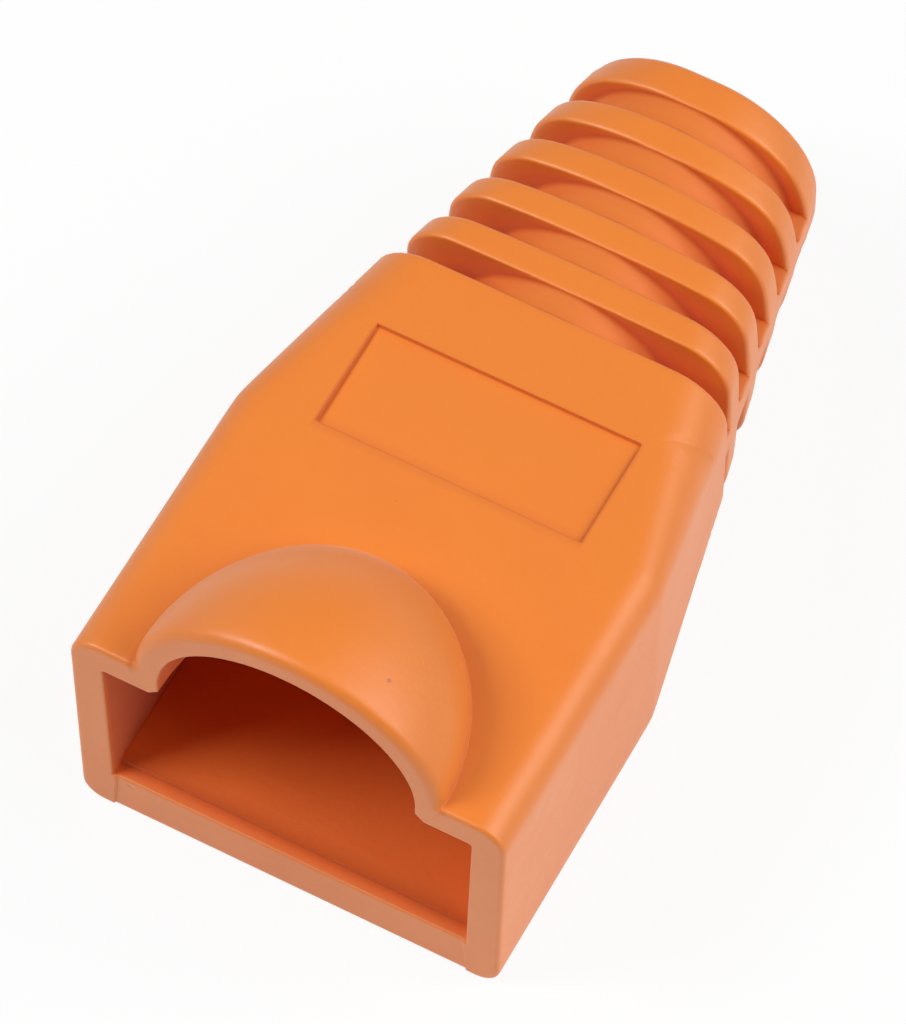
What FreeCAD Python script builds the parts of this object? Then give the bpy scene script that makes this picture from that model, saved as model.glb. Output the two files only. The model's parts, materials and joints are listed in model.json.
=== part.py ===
"""Strain relief boot for an 8-position modular cable plug: one moulded piece of soft PVC.

A hollow box takes the rear of the plug, a dome over the mouth leaves room for its latch,
the box narrows to a neck, and a tapered tail grips the cable.  Five pairs of slots, cut from
above and from below, leave five ribs on a round core, with a flat web along each side.

Frame, in millimetres: X across, +Y from the mouth to the tail, +Z up.  The origin is on the
base plane, in the middle of the overall length.  Inside the body, stations are measured from
the mouth, and the body's Placement moves the mouth to its place in that frame.
"""
import FreeCAD
import Part
import math
import os

import Sketcher

SLOT_COUNT = 5
EDGE_TOLERANCE = 0.01

# alias, value in mm, what it measures
DIMENSIONS = [
    ("mouth_half_top", 6.98, "half width of the box at the mouth, below the top corners"),
    ("mouth_half_bottom", 6.84, "half width of the box at the mouth, above the bottom corners"),
    ("mouth_top", 8.82, "height of the top face at the mouth"),
    ("box_corner_top", 0.95, "top corner radius of the box"),
    ("box_corner_bottom", 0.75, "bottom corner radius of the box"),
    ("waist_station", 9.7, "where the sides start to narrow"),
    ("waist_half_top", 6.94, "half width of the box at the waist, below the top corners"),
    ("waist_half_bottom", 6.82, "half width of the box at the waist, above the bottom corners"),
    ("waist_top", 8.66, "height of the top face at the waist"),
    ("neck_station", 16.12, "rear end of the box, where the first slot starts"),
    ("neck_half", 5.76, "half width at the neck"),
    ("neck_top", 8.56, "height of the top face at the neck"),
    ("neck_corner_top", 1.75, "top corner radius at the neck"),
    ("neck_corner_bottom", 3.3, "bottom corner radius at the neck"),
    ("base_height", 0.0, "height of the flat base"),
    ("base_skim", 0.03, "how far the box is drawn below its base, which is then cut flat"),
    ("tail_half_front", 5.56, "half width of the tail where it leaves the neck"),
    ("tail_half_rear", 3.84, "half width of the tail at its end"),
    ("tail_rise_front", 4.1, "half height of the tail where it leaves the neck"),
    ("tail_rise_rear", 3.67, "half height of the tail at its end"),
    ("tail_corner_front", 1.7, "corner radius of the tail where it leaves the neck"),
    ("tail_corner_rear", 3.4, "corner radius of the tail at its end"),
    ("tail_end", 25.95, "overall length"),
    ("axis_height", 4.45, "height of the cable axis, and of the parting plane"),
    ("slot_pitch", 1.905, "distance from one slot to the next"),
    ("slot_width", 0.92, "width of a slot"),
    ("core_radius_front", 3.7, "radius of the core at the first slot"),
    ("core_radius_rear", 3.36, "radius of the core at the last slot"),
    ("core_shift", 0.25, "how far the arcs of the core are set off from the cable axis"),
    ("web_half", 0.6, "half height of the web along each side of the tail"),
    ("slot_reach", 8.0, "how far a slot's outline stands out past the tail"),
    ("dome_half_width", 4.95, "half width of the dome"),
    ("dome_length", 6.25, "length of the dome, back from the mouth"),
    ("dome_rise", 4.37, "height of the dome above its centre"),
    ("dome_centre", 8.63, "height of the dome's centre"),
    ("hollow_half_width", 4.12, "half width of the hollow under the dome"),
    ("hollow_length", 5.4, "length of the hollow under the dome"),
    ("hollow_rise", 3.75, "height of the hollow above its centre"),
    ("hollow_centre", 8.3, "height of the hollow's centre"),
    ("foot_radius", 0.3, "fillet round the foot of the dome"),
    ("rim_chamfer", 0.3, "chamfer where the hollow opens into the plug cavity"),
    ("cavity_half_top", 5.92, "half width of the plug cavity at its ceiling"),
    ("cavity_half_bottom", 5.78, "half width of the plug cavity at its floor"),
    ("cavity_top", 7.67, "height of the cavity's ceiling"),
    ("cavity_bottom", 1.95, "height of the cavity's floor"),
    ("cavity_corner", 0.2, "corner radius of the plug cavity"),
    ("cavity_depth", 10.6, "depth of the straight part of the plug cavity"),
    ("funnel_end", 15.6, "where the funnel behind the cavity ends"),
    ("funnel_half", 2.9, "half width of the funnel's end"),
    ("bore_radius", 2.7, "radius of the cable bore"),
    ("lead_in_length", 0.5, "length of the lead-in ramp on the floor of the mouth"),
    ("lead_in_lip", 1.76, "height of the ramp at the mouth"),
    ("lead_in_step", 1.86, "height of the ramp at its small step"),
    ("lip_setback", 0.06, "how far the lip below the mouth stands back"),
    ("label_half_width", 4.3, "half width of the recess for a label"),
    ("label_front", 9.68, "front edge of the recess for a label"),
    ("label_rear", 13.41, "rear edge of the recess for a label"),
    ("label_floor", 8.5, "height of the recess's floor"),
    ("clearance", 2.0, "how far a cut runs past the surface that it leaves through"),
]


def make_sheet(doc):
    """Write the driving dimensions to a spreadsheet, one row each."""
    sheet = doc.addObject("Spreadsheet::Sheet", "sizes")
    for row, (alias, value, meaning) in enumerate(DIMENSIONS, start=1):
        sheet.set("A%d" % row, meaning)
        sheet.set("B%d" % row, str(value))
        sheet.setAlias("B%d" % row, alias)
    doc.recompute()
    return sheet


def origin_plane(body, role):
    """Find one of the body's own origin planes."""
    return next(f for f in body.Origin.OriginFeatures if f.Role == role)


def make_sketch(body, name, role, offset):
    """Start a sketch parallel to an origin plane; offset is an expression along its normal."""
    sketch = body.newObject("Sketcher::SketchObject", name)
    sketch.AttachmentSupport = [(origin_plane(body, role), "")]
    sketch.MapMode = "FlatFace"
    sketch.setExpression("AttachmentOffset.Base.z", offset)
    return sketch


def station_sketch(body, name, station):
    """Start a sketch across the boot at a distance behind the mouth; its axes are X and Z."""
    return make_sketch(body, name, "XZ_Plane", "-(%s)" % station)


def bind(sketch, index, name, expression):
    """Name a dimension of a sketch and drive it from the spreadsheet."""
    sketch.renameConstraint(index, name)
    sketch.setExpression("Constraints." + name, expression)


def add_dimension(sketch, name, expression, constraint):
    """Add a driving dimension to a sketch."""
    bind(sketch, sketch.addConstraint(constraint), name, expression)


def value_of(body, expression):
    """Work out an expression that uses the spreadsheet's names."""
    result = body.evalExpression(expression)
    return float(getattr(result, "Value", result))


def line(x0, y0, x1, y1):
    """A straight sketch edge."""
    return Part.LineSegment(FreeCAD.Vector(x0, y0, 0), FreeCAD.Vector(x1, y1, 0))


def arc(x, y, radius, start, end):
    """A sketch arc; start and end are quarter turns."""
    circle = Part.Circle(FreeCAD.Vector(x, y, 0), FreeCAD.Vector(0, 0, 1), radius)
    return Part.ArcOfCircle(circle, start * math.pi / 2, end * math.pi / 2)


def rounded_section(body, name, station, half_top, half_bottom, top, bottom, corner_top,
                    corner_bottom):
    """Draw a closed section with two radii, its sides leaning in towards the bottom."""
    sketch = station_sketch(body, name, station)
    expressions = (half_top, half_bottom, top, bottom, corner_top, corner_bottom)
    wt, wb, zt, zb, rt, rb = [value_of(body, text) for text in expressions]
    edges = [
        line(rt - wt, zt, wt - rt, zt),
        arc(wt - rt, zt - rt, rt, 0, 1),
        line(wt, zt - rt, wb, zb + rb),
        arc(wb - rb, zb + rb, rb, 3, 4),
        line(wb - rb, zb, rb - wb, zb),
        arc(rb - wb, zb + rb, rb, 2, 3),
        line(-wb, zb + rb, -wt, zt - rt),
        arc(rt - wt, zt - rt, rt, 1, 2),
    ]
    sketch.addGeometry(edges, False)
    joins = [(0, 2, 1, 2), (2, 1, 1, 1), (2, 2, 3, 2), (4, 1, 3, 1)]
    joins += [(4, 2, 5, 2), (6, 1, 5, 1), (6, 2, 7, 2), (0, 1, 7, 1)]
    for join in joins:
        sketch.addConstraint(Sketcher.Constraint("Tangent", *join))
    sketch.addConstraint(Sketcher.Constraint("Horizontal", 0))
    sketch.addConstraint(Sketcher.Constraint("Horizontal", 4))
    sketch.addConstraint(Sketcher.Constraint("Equal", 1, 7))
    sketch.addConstraint(Sketcher.Constraint("Equal", 3, 5))
    constraint = Sketcher.Constraint
    add_dimension(sketch, "corner_top", corner_top, constraint("Radius", 1, rt))
    add_dimension(sketch, "corner_bottom", corner_bottom, constraint("Radius", 3, rb))
    add_dimension(sketch, "half_top_right", half_top, constraint("DistanceX", -1, 1, 2, 1, wt))
    add_dimension(sketch, "half_top_left", half_top, constraint("DistanceX", 6, 2, -1, 1, wt))
    add_dimension(sketch, "half_bottom_right", half_bottom,
                  constraint("DistanceX", -1, 1, 2, 2, wb))
    add_dimension(sketch, "half_bottom_left", half_bottom,
                  constraint("DistanceX", 6, 1, -1, 1, wb))
    add_dimension(sketch, "top", top, constraint("DistanceY", -1, 1, 0, 1, zt))
    add_dimension(sketch, "bottom", bottom, constraint("DistanceY", -1, 1, 4, 1, zb))
    return sketch


def make_loft(body, name, kind, sections):
    """Join sections with straight-sided walls, adding or cutting."""
    loft = body.newObject("PartDesign::" + kind, name)
    loft.Profile = sections[0]
    loft.Sections = sections[1:]
    loft.Ruled = True
    return loft


def make_quarter_dome(body, name, kind, prefix, lowest_angle):
    """Add or cut the half of an ellipsoid behind the mouth, from an angle below its centre."""
    dome = body.newObject("PartDesign::" + kind, name)
    dome.AttachmentSupport = [(origin_plane(body, "XY_Plane"), "")]
    dome.MapMode = "FlatFace"
    dome.setExpression("AttachmentOffset.Base.z", "sizes.%s_centre" % prefix)
    dome.setExpression("Radius1", "sizes.%s_rise" % prefix)
    dome.setExpression("Radius2", "sizes.%s_half_width" % prefix)
    dome.setExpression("Radius3", "sizes.%s_length" % prefix)
    dome.Angle1 = lowest_angle
    dome.Angle2 = 90
    dome.Angle3 = 180
    return dome


def add_tail(body):
    """The tapered tail as a solid, from the neck to its end."""
    sections = []
    for end, station in (("front", "sizes.neck_station"), ("rear", "sizes.tail_end")):
        half = "sizes.tail_half_" + end
        rise = "sizes.tail_rise_" + end
        corner = "sizes.tail_corner_" + end
        sections.append(rounded_section(body, "tail_%s_section" % end, station, half, half,
                                        "sizes.axis_height + " + rise,
                                        "sizes.axis_height - " + rise, corner, corner))
    make_loft(body, "tail", "AdditiveLoft", sections)


def add_box_and_dome(body):
    """The box from the mouth to the neck, cut flat on its base, and the dome on it, both solid."""
    bottom = "sizes.base_height - sizes.base_skim"
    sections = []
    for end, station in (("mouth", "0 mm"), ("waist", "sizes.waist_station")):
        sections.append(rounded_section(body, end + "_section", station, "sizes.%s_half_top" % end,
                                        "sizes.%s_half_bottom" % end, "sizes.%s_top" % end,
                                        bottom, "sizes.box_corner_top",
                                        "sizes.box_corner_bottom"))
    sections.append(rounded_section(body, "neck_section", "sizes.neck_station", "sizes.neck_half",
                                    "sizes.neck_half", "sizes.neck_top", bottom,
                                    "sizes.neck_corner_top", "sizes.neck_corner_bottom"))
    make_loft(body, "box", "AdditiveLoft", sections)
    below = rectangle("sizes.slot_reach", "-sizes.clearance", "sizes.tail_end")
    cut_polygon(body, "flat_base", "XY_Plane", "sizes.base_height", below, "sizes.clearance")
    make_quarter_dome(body, "dome", "AdditiveEllipsoid", "dome", 0)


def draw_slot_outline(sketch, half_core, edge, far, reach, crown):
    """Three sides of a rectangle that stands out past the tail, closed by the core's arc."""
    corners = [(half_core, edge), (reach, edge), (reach, far)]
    corners += [(-reach, far), (-reach, edge), (-half_core, edge)]
    sketch.addGeometry([line(*a, *b) for a, b in zip(corners, corners[1:])], False)
    ends = [FreeCAD.Vector(x, y, 0) for x, y in (corners[-1], (0, crown), corners[0])]
    sketch.addGeometry(Part.Arc(*ends), False)


def cut_slot_half(body, index, side):
    """Cut one slot on one side of the parting plane; side is 1 above it and -1 below."""
    label = "above" if side > 0 else "below"
    sign = "+" if side > 0 else "-"
    station = "sizes.neck_station + %d * sizes.slot_pitch" % index
    narrowing = "(sizes.core_radius_rear - sizes.core_radius_front)"
    radius_text = "sizes.core_radius_front + %s * %g" % (narrowing, index / (SLOT_COUNT - 1))
    edge_text = "sizes.axis_height %s sizes.web_half" % sign
    centre_text = "sizes.axis_height %s sizes.core_shift" % sign
    far_text = "sizes.axis_height %s sizes.slot_reach" % sign
    radius, edge, centre, far, reach = [value_of(body, text) for text in (
        radius_text, edge_text, centre_text, far_text, "sizes.slot_reach")]
    half_core = math.sqrt(radius ** 2 - (edge - centre) ** 2)
    sketch = station_sketch(body, "slot_%d_%s" % (index + 1, label), station)
    draw_slot_outline(sketch, half_core, edge, far, reach, centre + side * radius)
    constraint = Sketcher.Constraint
    for first in range(4):
        sketch.addConstraint(constraint("Coincident", first, 2, first + 1, 1))
    right_end = 2 if side < 0 else 1
    sketch.addConstraint(constraint("Coincident", 0, 1, 5, right_end))
    sketch.addConstraint(constraint("Coincident", 4, 2, 5, 3 - right_end))
    for level in (0, 2, 4):
        sketch.addConstraint(constraint("Horizontal", level))
    for upright in (1, 3):
        sketch.addConstraint(constraint("Vertical", upright))
    sketch.addConstraint(constraint("PointOnObject", 5, 3, -2))
    sketch.addConstraint(constraint("Horizontal", 0, 1, 4, 2))
    add_dimension(sketch, "core_radius", radius_text, constraint("Radius", 5, radius))
    add_dimension(sketch, "web_edge", edge_text, constraint("DistanceY", -1, 1, 0, 1, edge))
    add_dimension(sketch, "core_centre", centre_text, constraint("DistanceY", -1, 1, 5, 3, centre))
    add_dimension(sketch, "far_edge", far_text, constraint("DistanceY", -1, 1, 2, 1, far))
    add_dimension(sketch, "reach_right", "sizes.slot_reach",
                  constraint("DistanceX", -1, 1, 1, 1, reach))
    add_dimension(sketch, "reach_left", "sizes.slot_reach",
                  constraint("DistanceX", 3, 1, -1, 1, reach))
    pocket = body.newObject("PartDesign::Pocket", "slot_cut_%d_%s" % (index + 1, label))
    pocket.Profile = sketch
    pocket.setExpression("Length", "sizes.slot_width")


def cut_inside(body):
    """The plug cavity, its funnel, the cable bore and the hollow under the dome."""
    mouth = rounded_section(body, "cavity_outline", "0 mm", "sizes.cavity_half_top",
                            "sizes.cavity_half_bottom", "sizes.cavity_top",
                            "sizes.cavity_bottom", "sizes.cavity_corner", "sizes.cavity_corner")
    cavity = body.newObject("PartDesign::Pocket", "plug_cavity")
    cavity.Profile = mouth
    cavity.setExpression("Length", "sizes.cavity_depth")
    plan = [("-sizes.cavity_half_bottom", "sizes.cavity_depth"),
            ("sizes.cavity_half_bottom", "sizes.cavity_depth"),
            ("sizes.funnel_half", "sizes.funnel_end"), ("-sizes.funnel_half", "sizes.funnel_end")]
    funnel = cut_polygon(body, "funnel", "XY_Plane", "sizes.cavity_bottom", plan,
                         "sizes.cavity_top - sizes.cavity_bottom")
    funnel.Reversed = True
    sketch = station_sketch(body, "bore_circle", "sizes.funnel_end")
    radius = value_of(body, "sizes.bore_radius")
    height = value_of(body, "sizes.axis_height")
    centre = FreeCAD.Vector(0, height, 0)
    sketch.addGeometry(Part.Circle(centre, FreeCAD.Vector(0, 0, 1), radius), False)
    constraint = Sketcher.Constraint
    sketch.addConstraint(constraint("PointOnObject", 0, 3, -2))
    add_dimension(sketch, "radius", "sizes.bore_radius", constraint("Radius", 0, radius))
    add_dimension(sketch, "height", "sizes.axis_height",
                  constraint("DistanceY", -1, 1, 0, 3, height))
    bore = body.newObject("PartDesign::Pocket", "cable_bore")
    bore.Profile = sketch
    bore.setExpression("Length", "sizes.tail_end - sizes.funnel_end + sizes.clearance")
    make_quarter_dome(body, "latch_hollow", "SubtractiveEllipsoid", "hollow", -90)


def rectangle(half_width, low, high):
    """The corners of a rectangle centred across the boot, as pairs of expressions."""
    return [("-" + half_width, low), (half_width, low), (half_width, high), ("-" + half_width, high)]


def cut_polygon(body, name, role, offset, corners, length):
    """Cut a straight-sided outline; each corner is a pair of expressions in the sketch's axes."""
    sketch = make_sketch(body, name + "_outline", role, offset)
    points = [[value_of(body, text) for text in corner] for corner in corners]
    count = len(corners)
    sketch.addGeometry([line(*points[i], *points[(i + 1) % count]) for i in range(count)], False)
    for i in range(count):
        sketch.addConstraint(Sketcher.Constraint("Coincident", i, 2, (i + 1) % count, 1))
    for i, (corner, point) in enumerate(zip(corners, points)):
        for kind, text, size in zip(("DistanceX", "DistanceY"), corner, point):
            add_dimension(sketch, "%s_%d" % (kind[-1].lower(), i + 1), text,
                          Sketcher.Constraint(kind, -1, 1, i, 1, size))
    pocket = body.newObject("PartDesign::Pocket", name)
    pocket.Profile = sketch
    pocket.setExpression("Length", length)
    return pocket


def cut_details(body):
    """The lead-in ramp, the set-back lip below the mouth and the recess for a label."""
    ceiling = "sizes.cavity_bottom + sizes.cavity_corner"
    ramp = [("-sizes.clearance", "sizes.lead_in_lip"), ("0 mm", "sizes.lead_in_lip"),
            ("sizes.lead_in_length", "sizes.lead_in_step"), ("sizes.lead_in_length", ceiling),
            ("-sizes.clearance", ceiling)]
    lead_in = cut_polygon(body, "lead_in", "YZ_Plane", "0 mm", ramp, "2 * sizes.cavity_half_bottom")
    lead_in.SideType = "Symmetric"
    lip = rectangle("sizes.cavity_half_bottom", "-sizes.clearance", "sizes.cavity_bottom")
    cut_polygon(body, "set_back_lip", "XZ_Plane", "0 mm", lip, "sizes.lip_setback")
    label = rectangle("sizes.label_half_width", "sizes.label_front", "sizes.label_rear")
    recess = cut_polygon(body, "label_recess", "XY_Plane", "sizes.label_floor", label,
                         "sizes.clearance")
    recess.Reversed = True


def dress_edge(doc, body, kind, name, size, wanted):
    """Chamfer or fillet the edges whose bounding boxes pass a test."""
    base = body.Tip
    names = ["Edge%d" % number for number, edge in enumerate(base.Shape.Edges, start=1)
             if wanted(edge.BoundBox)]
    if len(names) != 1:
        raise RuntimeError("%s: one edge expected, %d found" % (name, len(names)))
    feature = body.newObject("PartDesign::" + kind, name)
    feature.Base = (base, names)
    feature.setExpression("Size" if kind == "Chamfer" else "Radius", size)
    doc.recompute()


def soften_dome(doc, body):
    """A small fillet round the foot of the dome, and a chamfer round the hollow's rim."""
    ceiling = value_of(body, "sizes.cavity_top")
    foot = value_of(body, "sizes.waist_top")
    width = value_of(body, "2 * sizes.hollow_half_width")
    length = value_of(body, "sizes.hollow_length")

    def round_the_foot(box):
        return box.ZMin > foot and box.XLength > width and box.YLength > length

    def round_the_rim(box):
        level = box.ZLength < EDGE_TOLERANCE and abs(box.Center.z - ceiling) < EDGE_TOLERANCE
        return level and box.XLength > 0.9 * width and 0.5 * length < box.YLength < length

    dress_edge(doc, body, "Fillet", "dome_foot", "sizes.foot_radius", round_the_foot)
    dress_edge(doc, body, "Chamfer", "hollow_rim", "sizes.rim_chamfer", round_the_rim)


def check_and_write(doc, bodies):
    """Stop on any failed object or shape; otherwise write each sub-part to parts/."""
    for item in doc.Objects:
        if "Invalid" in item.State or "Error" in item.State:
            raise RuntimeError("%s failed: %s" % (item.Label, item.State))
    os.makedirs("parts", exist_ok=True)
    for body in bodies:
        shape = body.Shape
        if shape.isNull() or not shape.isValid() or len(shape.Solids) != 1:
            raise RuntimeError("%s is not one valid solid" % body.Label)
        shape.exportStep(os.path.join("parts", body.Label + ".step"))
        print(body.Label, shape.BoundBox, "volume", round(shape.Volume, 1))


def main():
    doc = FreeCAD.newDocument("strain_relief_boot")
    make_sheet(doc)
    body = doc.addObject("PartDesign::Body", "Body")
    body.Label = "boot"
    body.setExpression("Placement.Base.y", "-sizes.tail_end / 2")
    doc.recompute()
    add_tail(body)
    doc.recompute()
    for index in range(SLOT_COUNT):
        cut_slot_half(body, index, 1)
        cut_slot_half(body, index, -1)
    doc.recompute()
    add_box_and_dome(body)
    doc.recompute()
    cut_inside(body)
    cut_details(body)
    doc.recompute()
    soften_dome(doc, body)
    check_and_write(doc, [body])


if __name__ == "__main__":
    main()
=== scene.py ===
"""Dresses the strain relief boot: one moulded piece of soft PVC, its finish and its stage.

The boot's skin is one closed grid.  Its columns run round the boot, from the middle of the
base up one side, over the top and down the other.  Its rows run along the outside from the
neck to the mouth, through the plug cavity and the cable bore to the end of the tail, and back
over the ribs to the neck.  Inside the functions, sizes are in millimetres and stations are
measured from the mouth.
"""

import json
import math
from types import SimpleNamespace

import bpy
import numpy as np
from bpy.props import FloatProperty, FloatVectorProperty, IntProperty, PointerProperty
from mathutils import Matrix, Vector


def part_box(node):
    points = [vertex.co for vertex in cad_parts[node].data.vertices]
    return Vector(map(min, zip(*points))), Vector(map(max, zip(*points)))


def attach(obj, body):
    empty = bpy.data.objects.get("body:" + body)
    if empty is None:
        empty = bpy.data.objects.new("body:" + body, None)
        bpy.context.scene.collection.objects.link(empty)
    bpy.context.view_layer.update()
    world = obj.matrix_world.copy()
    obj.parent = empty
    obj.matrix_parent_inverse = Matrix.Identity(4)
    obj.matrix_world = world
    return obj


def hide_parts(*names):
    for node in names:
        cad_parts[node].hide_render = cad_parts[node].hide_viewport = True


bl_info = {
    "name": "Strain relief boot",
    "version": (1, 0, 0),
    "blender": (4, 5, 0),
    "location": "3D View > Sidebar > Boot",
    "description": "Builds a moulded strain relief boot for a modular plug, and its stage",
    "category": "Add Mesh",
}

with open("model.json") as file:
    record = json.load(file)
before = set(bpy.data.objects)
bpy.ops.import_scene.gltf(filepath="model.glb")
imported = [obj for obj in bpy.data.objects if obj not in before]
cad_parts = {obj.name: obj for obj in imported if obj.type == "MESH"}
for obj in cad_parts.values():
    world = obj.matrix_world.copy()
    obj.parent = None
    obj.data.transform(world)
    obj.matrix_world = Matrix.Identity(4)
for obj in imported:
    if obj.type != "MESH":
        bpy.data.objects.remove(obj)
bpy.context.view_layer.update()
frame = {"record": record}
LOW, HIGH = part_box("boot")
BORE = next(m for m in frame["record"]["mounts"] if m["name"] == "cable_bore")
MM = 0.001

# Intervals between the grid's columns over one half, from the middle of the base to the top
BASE_SPAN, BASE_CORNER, SIDE_SPAN, TOP_CORNER = 12, 7, 15, 7
SHOULDER, FOOT, DOME = 5, 6, 20
LOWER = BASE_SPAN + BASE_CORNER + SIDE_SPAN + TOP_CORNER
RING = SHOULDER + FOOT
HALF = LOWER + RING + DOME
# The same columns over the tail: a quarter, the edge of the web, the web, its edge, a quarter
QUARTER, WEB_EDGE, WEB = 28, 5, 6
# Rows of half a slot, from the edge of its front wall to the row before its middle
HALF_SLOT = 12
# In millimetres: half the thickness of the label recess's walls, the radius of the bore's edge,
# how far from the web's faces the columns crowd, and how far the funnel's floor falls
LABEL_WALL, BORE_EDGE, WEB_REACH, FUNNEL_DROP = 0.012, 0.15, 0.12, 0.3
# Faces that meet at more than this angle keep a crisp edge
CRISP_ANGLE = math.radians(38)


# ---- sizes and colours


def length(millimetres, description):
    """A length that the user can change, stored in metres."""
    return FloatProperty(description=description, default=millimetres * MM, min=0.0,
                         precision=5, unit="LENGTH")


def colour(value, description):
    """A colour that the user can change."""
    return FloatVectorProperty(description=description, default=value, size=3,
                               subtype="COLOR", min=0.0, max=1.0)


def factor(value, description):
    """A share from 0 to 1."""
    return FloatProperty(description=description, default=value, min=0.0, max=1.0,
                         subtype="FACTOR")


class BootSizes(bpy.types.PropertyGroup):
    mouth_half: length(HIGH.x / MM, "Half width of the box at the mouth")
    mouth_foot: length(6.84, "Half width at the mouth, near the base")
    mouth_top: length(8.82, "Height of the top face at the mouth")
    mouth_corner: length(0.95, "Radius of the box's top corners")
    mouth_foot_corner: length(0.75, "Radius of the box's bottom corners")
    waist: length(9.7, "Where the sides start to narrow")
    waist_half: length(6.94, "Half width of the box at the waist")
    waist_foot: length(6.82, "Half width at the waist, near the base")
    waist_top: length(8.66, "Height of the top face at the waist")
    neck: length(16.12, "Rear end of the box, where the first slot starts")
    neck_half: length(5.76, "Half width of the box at the neck")
    neck_top: length(8.56, "Height of the top face at the neck")
    neck_corner: length(1.75, "Radius of the top corners at the neck")
    neck_foot_corner: length(3.3, "Radius of the bottom corners at the neck")
    edge: length(0.15, "Radius of the outer edge round the mouth")
    dome_edge: length(0.36, "Radius of the dome's edge at the mouth")
    inner_edge: length(0.06, "Radius of the cavity's edge at the mouth")
    dome_half: length(4.95, "Half width of the dome")
    dome_length: length(6.1, "Length of the dome, back from the mouth")
    dome_centre: length(8.63, "Height of the dome's centre")
    dome_rise: length(HIGH.z / MM - 8.63, "Height of the dome above its centre")
    dome_foot: length(0.04, "Radius of the fillet round the dome's foot")
    label_half: length(4.3, "Half width of the recess for a label")
    label_front: length(9.68, "Front edge of the recess for a label")
    label_rear: length(13.41, "Rear edge of the recess for a label")
    label_floor: length(8.47, "Height of the floor of the recess for a label")


class CavitySizes(bpy.types.PropertyGroup):
    half: length(5.92, "Half width of the plug cavity at its ceiling")
    foot: length(5.78, "Half width of the plug cavity at its floor")
    ceiling: length(7.67, "Height of the cavity's ceiling")
    floor: length(1.95, "Height of the cavity's floor")
    lip: length(1.76, "Height of the floor at the mouth")
    lip_step: length(1.8, "Height of the lead-in at its small step")
    lip_length: length(0.5, "Length of the lead-in")
    lip_setback: length(0.06, "How far the lip below the mouth stands back")
    corner: length(0.12, "Corner radius along the cavity's ceiling")
    foot_corner: length(0.05, "Corner radius along the cavity's floor")
    depth: length(10.6, "Depth of the straight part of the cavity")
    funnel_end: length(15.6, "Where the funnel behind the cavity ends")
    funnel_half: length(2.9, "Half width of the funnel's end")
    hollow_half: length(4.12, "Half width of the hollow under the dome")
    hollow_length: length(5.4, "Length of the hollow under the dome")
    hollow_centre: length(8.3, "Height of the hollow's centre")
    hollow_rise: length(3.75, "Height of the hollow above its centre")
    rim: length(0.3, "Chamfer round the hollow's rim")
    bore: length(BORE["dims"]["r_mm"], "Radius of the cable bore")


class TailSizes(bpy.types.PropertyGroup):
    axis: length(BORE["pos_m"][2] / MM, "Height of the cable's axis")
    end: length((HIGH.y - LOW.y) / MM, "Length of the boot")
    front_half: length(5.56, "Half width of the tail at the neck")
    front_rise: length(4.1, "Half height of the tail at the neck")
    front_corner: length(1.7, "Corner radius of the tail at the neck")
    rear_half: length(3.84, "Half width of the tail at its end")
    rear_rise: length(3.67, "Half height of the tail at its end")
    rear_corner: length(3.4, "Corner radius of the tail at its end")
    slots: IntProperty(description="Slots along the tail", default=5, min=2, max=5)
    pitch: length(1.905, "Distance from one slot to the next")
    width: length(0.92, "Width of a slot")
    core_front: length(3.7, "Radius of the core at the first slot")
    core_rear: length(3.36, "Radius of the core at the last slot")
    core_shift: length(0.25, "How far the core's arcs are set off from the axis")
    web: length(0.6, "Half height of the web along each side")
    edge: length(0.16, "Radius of a rib's edges")
    root: length(0.14, "Radius along the bottom of a slot")
    end_edge: length(0.3, "Radius of the edge at the tail's end")


class FinishSettings(bpy.types.PropertyGroup):
    body: colour((0.838, 0.213, 0.008), "Colour of the moulded PVC")
    deep: colour((0.775, 0.172, 0.006), "Colour of the slightly darker mottling")
    # Painted shade: deeper colour inside the cavity, the bore and the slots, where little light
    # falls
    hollow: colour((0.83, 0.150, 0.006), "Colour inside the cavity, the bore and the slots")
    # Painted shade at the recess, the dome's foot, the lip's step, the cavity's walls and slot
    # roots
    crease: colour((0.52, 0.075, 0.003), "Colour of the fine creases")
    speck: colour((0.36, 0.08, 0.02), "Colour of the fine dark specks")
    roughness: factor(0.46, "Roughness of the moulded surface")
    mottle: factor(0.35, "Share of the darker mottling")
    backdrop: colour((0.98, 0.98, 0.98), "Colour of the floor and the background")


def in_millimetres(group):
    """A property group's lengths in millimetres and its counts, as plain numbers."""
    values = {}
    for name in group.bl_rna.properties.keys():
        value = getattr(group, name)
        if isinstance(value, float):
            values[name] = value / MM
        elif isinstance(value, int):
            values[name] = value
    return SimpleNamespace(**values)


# ---- outlines


def smooth_step(value):
    """0 below 0, 1 above 1, with no corner between."""
    value = min(max(value, 0.0), 1.0)
    return value * value * (3 - 2 * value)


def between(a, b, share):
    """A point or number part of the way from a to b."""
    return a + (b - a) * share


def arc(centre, radius, start, end, count):
    """Points round an arc, without its first; the angles are in degrees."""
    points = []
    for step in range(1, count + 1):
        angle = math.radians(between(start, end, step / count))
        points.append((centre[0] + radius * math.cos(angle), centre[1] + radius * math.sin(angle)))
    return points


def lower_outline(section, shares):
    """Half of a box's outline, from the middle of its base to the end of its top corner."""
    inner = section.foot_half - section.foot_corner
    points = [(inner * share, section.bottom) for share in shares]
    low = (inner, section.bottom + section.foot_corner)
    points += arc(low, section.foot_corner, -90, 0, BASE_CORNER)
    high = (section.half - section.corner, section.top - section.corner)
    start, end = np.array(points[-1]), np.array((section.half, high[1]))
    points += [tuple(between(start, end, step / SIDE_SPAN)) for step in range(1, SIDE_SPAN + 1)]
    points += arc(high, section.corner, 0, 90, TOP_CORNER)
    return points


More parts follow.
